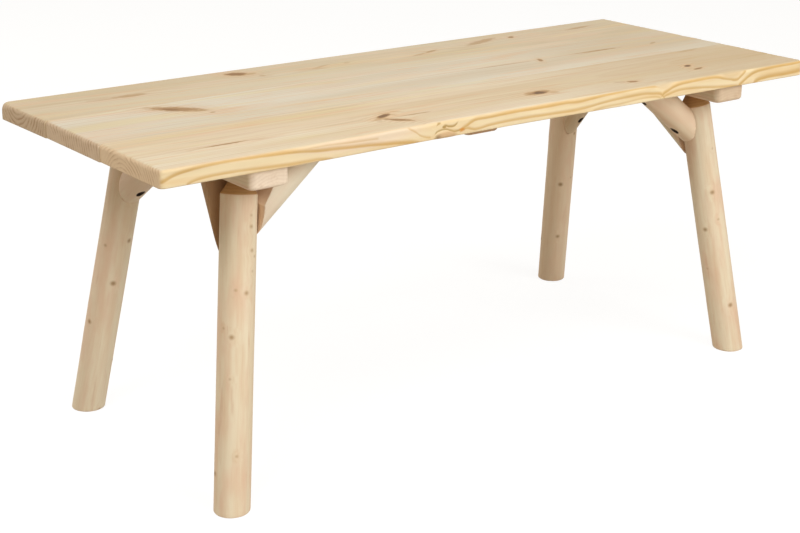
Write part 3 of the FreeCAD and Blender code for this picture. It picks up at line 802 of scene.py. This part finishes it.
def straight_plank(plank, near_y, far_y, far_round, slant=0.0, wear=0.0):
    """A planed plank: eased near edge, worn ends, and a slanting, worn left end where asked."""
    left, right = LEFT_ENDS[plank], HALF_LENGTH
    rows = []
    for x in stations(left, right, STRAIGHT_STEP):
        gap = min(x - left, right - x)
        extra = wear if x - left < right - x else 0.0

        def top(y):
            corner_share = max(0.0, 1 - (far_y - y) / WEAR_REACH)
            return TOP_HEIGHT - eased(gap, worn(y, WEAR_SEEDS[plank]) + extra * corner_share)

        bottom = UNDERSIDE + eased(gap, LOWER_ROUND)
        far = far_y - eased(gap, far_round[2])
        near = near_y + eased(gap, JOINT_EDGE[2])
        loop = corner(far, top(far_y), -1, -1, far_round[0], UPPER_POINTS)
        loop += corner(far, bottom, -1, 1, far_round[1], LOWER_POINTS)[::-1]
        loop += corner(near, bottom, 1, 1, JOINT_EDGE[1], LOWER_POINTS)
        loop += corner(near, top(near_y), 1, -1, JOINT_EDGE[0], UPPER_POINTS)[::-1]
        loop += face_points(near + JOINT_EDGE[0], far - far_round[0], far_y - near_y, top)
        lean = slant * max(0.0, 1 - (x - left) / SLANT_REACH)
        rows.append([(x + lean * (far_y - y) / (far_y - near_y), y, z) for y, z in loop])
    return loft(f"{plank}_plank", rows)


def natural_edge(x):
    """Where the natural edge runs: a smooth line through the widths at even stations."""
    share = (x - NATURAL_EDGE_START) / (HALF_LENGTH - NATURAL_EDGE_START) * (len(NEAR_WIDTHS) - 1)
    k = min(max(int(share), 0), len(NEAR_WIDTHS) - 2)
    t = share - k
    a, b, c, d = (NEAR_WIDTHS[min(max(k + step, 0), len(NEAR_WIDTHS) - 1)] for step in (-1, 0, 1, 2))
    width = b + 0.5 * t * (c - a + t * (2 * a - 5 * b + 4 * c - d + t * (3 * (b - c) + d - a)))
    return NEAR_JOINT - width


def natural_round(x):
    """The rounding above the natural edge: it varies gently, and is fuller in the hollows."""
    size = NATURAL_ROUND + NATURAL_ROUND_WAVE * noise.noise((x * 7, 1.3, 0.0))
    for centre, half_sizes, depth in EDGE_HOLLOWS:
        away = (x - centre[0]) / (HOLLOW_SPREAD * half_sizes[0])
        size += depth * max(0.0, 1 - away ** 2) ** 2
    return size


def natural_swell(x, z):
    """How far the natural edge stands out: gentle swells, and the lump of the healed scar."""
    swell = SWELL_HEIGHT * noise.noise((x * 11, z * 45, 4.0)) - SWELL_SINK
    reach = math.hypot((x - SCAR_PLACE[0]) / SCAR_SIZE[0], (z - SCAR_PLACE[1]) / SCAR_SIZE[1])
    lump = SCAR_PROUD * max(0.0, 1 - reach ** 2) * (1 + 0.4 * noise.noise((x * 60, z * 120, 2.0)))
    return swell + lump


def near_plank():
    """The near plank: an eased joint edge, and a natural edge with hollows, swells and a healed scar."""
    left, right = LEFT_ENDS["near"], HALF_LENGTH
    rows = []
    for x in stations(left, right, NATURAL_STEP):
        gap = min(x - left, right - x)
        bottom = UNDERSIDE + eased(gap, LOWER_ROUND)
        joint = NEAR_JOINT - GLUE_LINE / 2 - eased(gap, JOINT_EDGE[2])
        edge = natural_edge(x) + eased(gap, CORNER_ROUND)

        def top(y):
            return TOP_HEIGHT - eased(gap, worn(y, WEAR_SEEDS["near"]))

        shoulder = natural_round(x)
        outer = corner(edge, top(edge), 1, -1, shoulder, NATURAL_POINTS)
        high, low = outer[-1][1], bottom + NATURAL_LOWER_ROUND
        wall = [(edge, high + (low - high) * k / WALL_STEPS) for k in range(1, WALL_STEPS)]
        lower = corner(edge, bottom, 1, 1, NATURAL_LOWER_ROUND, LOWER_POINTS)[::-1]
        loop = []
        for y, z in outer + wall + lower:
            share = min(max((edge + SWELL_REACH - y) / SWELL_REACH, 0.0), 1.0) * min(gap / SWELL_REACH, 1.0)
            loop.append((y - share * natural_swell(x, z), z))
        loop += corner(joint, bottom, -1, 1, JOINT_EDGE[1], JOINT_POINTS)
        loop += corner(joint, top(joint), -1, -1, JOINT_EDGE[0], JOINT_POINTS)[::-1]
        loop += face_points(joint - JOINT_EDGE[0], edge + shoulder, NEAR_WIDTHS[0], top)
        rows.append([(x, y, z) for y, z in loop])
    return loft("near_plank", rows)


def spoke(reach, angle):
    """The end of a spoke round a log's centre line."""
    return reach * math.cos(angle), reach * math.sin(angle)


def turns(count):
    """Even turns round a circle."""
    return [2 * math.pi * k / count for k in range(count)]


def leg_axis(corner_name, height):
    """The point on a leg's centre line at a height."""
    side_x, side_y, tenon_x, tenon_y, end_lean, side_lean = LEGS[corner_name]
    fall = CLEAT_MIDDLE - height
    return Vector((
        side_x * (tenon_x + math.tan(math.radians(end_lean)) * fall),
        side_y * (tenon_y + math.tan(math.radians(side_lean)) * fall),
        height))


def frame_along(start, way):
    """A place whose Z runs along a way."""
    return Matrix.Translation(start) @ UP.rotation_difference(way).to_matrix().to_4x4()


def leg_place(corner_name):
    """A leg's own place: at its foot, with Z up its centre line."""
    foot, head = leg_axis(corner_name, 0), leg_axis(corner_name, UNDERSIDE)
    return frame_along(foot, (head - foot).normalized())


def log_radius(radius, angle, place, seed, knots):
    """A peeled log's radius: its full size less shallow dips, which leave humps at its knots."""
    dip = 0.5 + 0.5 * noise.noise((1.6 * math.cos(angle) + seed, 1.6 * math.sin(angle), place * 5))
    hump = 0.0
    for along, turn, size in knots:
        side = (angle - math.radians(turn) + math.pi) % (2 * math.pi) - math.pi
        reach = math.hypot(side * radius, (place - along) * HUMP_TALLNESS) / (HUMP_SPREAD * size)
        hump = max(hump, math.exp(-reach ** 2))
    return radius - LOG_DIP * dip * (1 - hump)


def leg_mesh(name, place, seed, knots):
    """A log leg in its own frame: level foot with an eased rim, shoulder, taper and tenon."""
    upright = place.to_3x3().transposed() @ UP

    def level(x, y, height):
        return (height - upright.x * x - upright.y * y) / upright.z

    rows = []
    for bend in FOOT_BENDS:
        inset = FOOT_ROUND * (1 - math.sin(math.radians(bend)))
        lift = FOOT_ROUND * (1 - math.cos(math.radians(bend)))
        rim = [spoke(log_radius(LEG_RADIUS, a, 0, seed, knots) - inset, a) for a in turns(LOG_SIDES)]
        rows.append([(x, y, level(x, y, 0) + lift) for x, y in rim])
    shoulder = SHOULDER_RIM / upright.z
    for step in range(1, LEG_ROWS + 1):
        row = []
        for angle in turns(LOG_SIDES):
            low = level(*spoke(LEG_RADIUS, angle), 0) + FOOT_ROUND
            up = low + (shoulder - low) * step / LEG_ROWS
            row.append((*spoke(log_radius(LEG_RADIUS, angle, up, seed, knots), angle), up))
        rows.append(row)
    edge = rows[-1]
    taper_width, taper_length = LEG_RADIUS - TENON_RADIUS, SHOULDER_LENGTH / upright.z
    for inset, lift in [RIM_EASE] + [(t * taper_width, t * taper_length) for t in TAPER_SHARES]:
        scale = (LEG_RADIUS - inset) / LEG_RADIUS
        rows.append([(x * scale, y * scale, up + lift) for x, y, up in edge])
    tenon = [spoke(TENON_RADIUS, a) for a in turns(LOG_SIDES)]
    rows.append([(x, y, level(x, y, UNDERSIDE)) for x, y in tenon])
    return loft(name, rows)


def brace_pole(name, length, seed):
    """A round log in its own frame, with length to spare."""
    rows = []
    for step in range(BRACE_ROWS + 1):
        up = -BRACE_RADIUS + (length + BRACE_RADIUS) * step / BRACE_ROWS
        rows.append([
            (*spoke(log_radius(BRACE_RADIUS, angle, up, seed, ()), angle), up) for angle in turns(LOG_SIDES)])
    return loft(name, rows)


def brace_cuts(name, corner_name, way, ceiling):
    """The planes that a brace is sawn along, each a point and the way that falls off."""
    seat_way = leg_place(corner_name).to_3x3() @ way
    cuts = [(leg_axis(corner_name, 0) + seat_way * SEAT, -seat_way), (UP * ceiling, UP)]
    if name in SAWN_CORNERS:
        spot, slope = SAWN_CORNERS[name]
        cuts.append((spot, UP * math.cos(math.radians(slope)) - way * math.sin(math.radians(slope))))
    return cuts


def saw(mesh, cuts):
    """Cuts a mesh along planes and closes it again."""
    skin = bmesh.new()
    skin.from_mesh(mesh)
    for spot, away in cuts:
        parts = skin.verts[:] + skin.edges[:] + skin.faces[:]
        bmesh.ops.bisect_plane(skin, geom=parts, dist=1e-6, plane_co=spot, plane_no=away, clear_outer=True)
        bmesh.ops.edgeloop_fill(skin, edges=[edge for edge in skin.edges if edge.is_boundary])
    bmesh.ops.recalc_face_normals(skin, faces=skin.faces)
    skin.to_mesh(mesh)
    skin.free()


def drill_path(spot, way):
    """A drill's path as a closed tube, for cutting a screw's recess."""
    place = frame_along(spot, way)
    return loft("drill", [
        [place @ Vector((*spoke(RECESS_RADIUS, angle), up)) for angle in turns(DRILL_SIDES)]
        for up in (0, DRILL_LENGTH)])


def drilled(mesh, home, drills):
    """The mesh with its drills' paths cut out, each a point and a way in the table's frame."""
    blank = stand("blank", mesh)
    tools = []
    for spot, way in drills:
        path = drill_path(spot, way)
        path.transform(home)
        tool = stand("drill", path)
        cut = blank.modifiers.new("recess", "BOOLEAN")
        cut.operation = "DIFFERENCE"
        cut.solver = "EXACT"
        cut.object = tool
        tools.append(tool)
    bpy.context.view_layer.update()
    solid = bpy.data.meshes.new_from_object(blank.evaluated_get(bpy.context.evaluated_depsgraph_get()))
    for scrap in [blank] + tools:
        bpy.data.objects.remove(scrap)
    return solid


def brace_mesh(name, corner_name, kind, seed):
    """A log brace sawn to fit and drilled, its place, and its sawn flats and drills."""
    drop, shift, rise = BRACES[corner_name][kind]
    rise = math.radians(rise)
    ceiling = CEILINGS[kind]
    side_x, side_y = LEGS[corner_name][:2]
    way, inward = Vector((-side_x, 0, 0)), Vector((0, -side_y, 0))
    if kind == "cross":
        way, inward = inward, way
    height = ceiling - drop
    foot = leg_axis(corner_name, height) + inward * shift
    place = frame_along(foot, way * math.cos(rise) + UP * math.sin(rise))
    low = height + (SEAT + LEG_SCREW_RUN * math.cos(rise)) * math.tan(rise) - BRACE_RADIUS / math.cos(rise)
    beside = leg_axis(corner_name, low) + inward * (shift - LEG_SCREW_SIDE) + way * (SEAT + LEG_SCREW_GRIP)
    above = foot + way * (drop / math.tan(rise))
    above.z = ceiling - UPPER_SCREW_GRIP
    home = place.inverted()

    def inside(lines):
        return [(home @ spot, home.to_3x3() @ line) for spot, line in lines]

    mesh = brace_pole(name, (drop + 2 * BRACE_RADIUS) / math.sin(rise) + 2 * BRACE_RADIUS, seed)
    cuts = inside(brace_cuts(name, corner_name, way, ceiling))
    saw(mesh, cuts)
    drills = [(beside, way), (above, -UP)]
    return drilled(mesh, home, drills), place, cuts[2:], inside(drills)


def make_top():
    """The three planks, glued edge to edge."""
    half = GLUE_LINE / 2
    meshes = {
        "far": straight_plank("far", FAR_JOINT + half, FAR_EDGE, OUTER_EDGE, FAR_END_SLANT, FAR_CORNER_WEAR),
        "middle": straight_plank("middle", NEAR_JOINT + half, FAR_JOINT - half, JOINT_EDGE),
        "near": near_plank(),
    }
    for plank, mesh in meshes.items():
        mesh.materials.append(plank_finish(plank, *PLANK_WOOD[plank]))
        piece(f"{plank}_plank", mesh, [f"{plank}_board"])


def make_leg(number, corner_name):
    """A leg, with pin knots on its seen and hidden sides. Its number sets its wood apart."""
    name = f"{corner_name}_leg"
    dips, grain, draws = number * 3.7, number * 5.3 + 1, number + 11
    knots = list(PIN_KNOTS[name]) + hidden_knots(draws, SHOULDER_RIM, *LEG_HIDDEN_KNOTS)
    place = leg_place(corner_name)
    mesh = leg_mesh(name, place, dips, knots)
    mesh.transform(place)
    shoulder = SHOULDER_RIM / place.col[2].z
    mesh.materials.append(log_finish(name, place, knots, LEG_RADIUS, grain, shoulder))
    piece(f"{name}_log", mesh, [name])


def make_brace(number, corner_name, kind):
    """A brace from its leg up to its ceiling. Its number sets its wood apart."""
    name = f"{corner_name}_{kind}_brace"
    dips, grain, draws = number * 2.9 + 20, number * 4.1 + 30, number + 40
    mesh, place, flats, drills = brace_mesh(name, corner_name, kind, dips)
    knots = hidden_knots(draws, BRACE_KNOT_REACH, *BRACE_HIDDEN_KNOTS)
    mesh.transform(place)
    mesh.materials.append(log_finish(name, place, knots, BRACE_RADIUS, grain, flats=flats, drills=drills))
    piece(f"{name}_log", mesh, [name])


def make_logs():
    """The four legs and their eight braces."""
    for number, corner_name in enumerate(LEGS):
        make_leg(number, corner_name)
        make_brace(2 * number, corner_name, "long")
        make_brace(2 * number + 1, corner_name, "cross")


def finish_cad_pieces():
    """Better finishes for the CAD pieces that stay as they are."""
    finishes = {name: cleat_finish(f"{name}_pine", *wood) for name, wood in CLEAT_WOOD.items()}
    finishes.update(dict.fromkeys(SCREW_NODES, steel_finish()))
    for name, finish in finishes.items():
        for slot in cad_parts[name].material_slots:
            slot.material = finish


def set_camera():
    """The camera at the photo's view: turned from +Y towards +X, tipped down, then rolled."""
    turn, tip, roll = (math.radians(a) for a in (CAMERA_TURN, CAMERA_TIP, CAMERA_ROLL))
    ahead = Vector((math.sin(turn) * math.cos(tip), math.cos(turn) * math.cos(tip), -math.sin(tip)))
    level = Vector((math.cos(turn), -math.sin(turn), 0))
    above = level.cross(ahead)
    right = math.cos(roll) * level + math.sin(roll) * above
    up = -math.sin(roll) * level + math.cos(roll) * above
    data = bpy.data.cameras.new("photo_camera")
    data.sensor_fit = "HORIZONTAL"
    data.lens = FOCAL_PIXELS / FRAME_WIDTH * data.sensor_width
    data.shift_x = (FRAME_WIDTH / 2 - FRAME_CENTRE[0]) / FRAME_WIDTH
    data.shift_y = (FRAME_CENTRE[1] - FRAME_HEIGHT / 2) / FRAME_WIDTH
    camera = stand("photo_camera", data)
    camera.matrix_world = Matrix((right, up, -ahead)).transposed().to_4x4()
    camera.location = CAMERA_PLACE
    bpy.context.scene.camera = camera


# The studio: the room's light, the floor's colours, glow, half size and drop, each lamp's place, width,
# power and colour, and where the lamps aim
WHITE = (1.0, 1.0, 1.0, 1.0)
ROOM_COLOUR = (1.0, 0.85, 0.62, 1.0)
ROOM_LIGHT = 0.343
FLOOR_COLOUR = (0.50, 0.46, 0.40, 1.0)
FLOOR_GLOW = 0.88
FLOOR_SHADOW = (0.2, 0.2, 0.2, 1.0)
FLOOR_HALF = 40.0
FLOOR_DROP = 0.0004
LAMPS = {
    "overhead": ((-0.3, 0.0, 6.0), 5.0, 46, (1.0, 0.97, 0.93)),
    "left": ((-6.0, -3.4, 8.2), 4.6, 373, (0.97, 1.0, 1.0)),
    "front_right": ((1.6, -5.4, 3.2), 3.6, 165, (0.90, 0.97, 1.0)),
    "front": ((0.0, -3.2, 1.9), 2.4, 21, (0.90, 0.97, 1.0)),
    "rear": ((-3.2, 4.8, 2.2), 3.4, 60, (0.93, 0.98, 1.0)),
}
LAMP_AIM = Vector((0, 0, 0.5))


def show(nodes, target, lit, seen):
    """Feeds an output what lights the table, and what the camera and clear rays see instead."""
    camera, glossy, clear = (
        nodes.add("ShaderNodeLightPath", output=f"Is {ray} Ray")
        for ray in ("Camera", "Glossy", "Transmission"))
    share = camera.most(glossy).most(clear)
    mix = nodes.add("ShaderNodeMixShader", None, {0: share, 1: lit, 2: seen})
    nodes.feed(nodes.tree.nodes[target].inputs["Surface"], mix)


def make_room():
    """A room that is white behind the table and lights it softly."""
    world = bpy.data.worlds.new("studio")
    bpy.context.scene.world = world
    world.use_nodes = True
    room = Nodes(world.node_tree)
    room.tree.nodes.remove(room.tree.nodes["Background"])
    lit = room.add("ShaderNodeBackground", None, {"Color": ROOM_COLOUR, "Strength": ROOM_LIGHT})
    seen = room.add("ShaderNodeBackground", None, {"Color": WHITE, "Strength": 1.0})
    show(room, "World Output", lit, seen)


def make_floor():
    """A pale floor that keeps a faint shadow."""
    sheet = bpy.data.meshes.new("floor")
    corners = [(FLOOR_HALF * x, FLOOR_HALF * y, 0) for x, y in ((-1, -1), (1, -1), (1, 1), (-1, 1))]
    sheet.from_pydata(corners, [], [(0, 1, 2, 3)])
    floor = stand("floor", sheet)
    floor.location.z = -FLOOR_DROP
    pale = bpy.data.materials.new("pale_floor")
    pale.use_nodes = True
    boards = Nodes(pale.node_tree)
    boards.tree.nodes.remove(boards.tree.nodes["Principled BSDF"])
    lit = boards.add("ShaderNodeBsdfDiffuse", None, {"Color": FLOOR_COLOUR})
    glow = boards.add("ShaderNodeEmission", None, {"Strength": FLOOR_GLOW})
    shadow = boards.add("ShaderNodeBsdfDiffuse", None, {"Color": FLOOR_SHADOW})
    seen = boards.add("ShaderNodeAddShader", None, {0: glow, 1: shadow})
    show(boards, "Material Output", lit, seen)
    sheet.materials.append(pale)


def make_lamps():
    """Soft lamps aimed at the table."""
    for name, (place, width, power, colour) in LAMPS.items():
        data = bpy.data.lights.new(name, "AREA")
        data.shape = "DISK"
        data.size = width
        data.energy = power
        data.color = colour
        lamp = stand(name, data)
        lamp.location = place
        aim = LAMP_AIM - Vector(place)
        lamp.rotation_euler = aim.to_track_quat("-Z", "Y").to_euler()


bpy.context.scene.view_settings.view_transform = "Standard"
set_camera()
make_room()
make_floor()
make_lamps()
make_top()
make_logs()
finish_cad_pieces()
